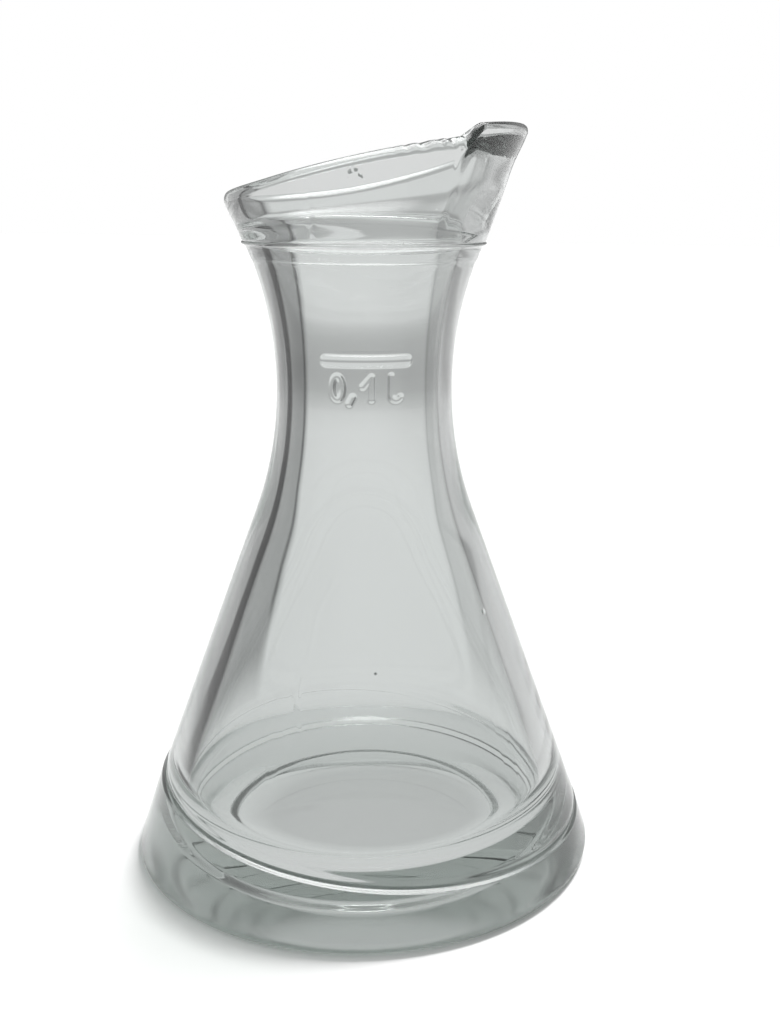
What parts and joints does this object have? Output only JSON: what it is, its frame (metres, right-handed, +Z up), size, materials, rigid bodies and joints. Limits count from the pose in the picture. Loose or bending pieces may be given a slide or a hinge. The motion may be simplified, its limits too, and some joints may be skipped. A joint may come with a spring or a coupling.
{
  "type": "wine measure carafe",
  "caption": "Small conical glass carafe with a narrow neck, a slanting rim with a raised pouring lip, and a moulded fill line, for serving a measure of wine.",
  "frame": {"origin": "centre of the foot, on the surface that the carafe stands on", "axes": "+Z up along the neck, +X towards the pouring lip"},
  "size_m": [0.0756, 0.0756, 0.1186],
  "materials": {
    "glass": "clear pressed glass with a faint grey-green tint, smooth and glossy"
  },
  "bodies": {
    "root": {"carafe": "glass"}
  },
  "joints": []
}
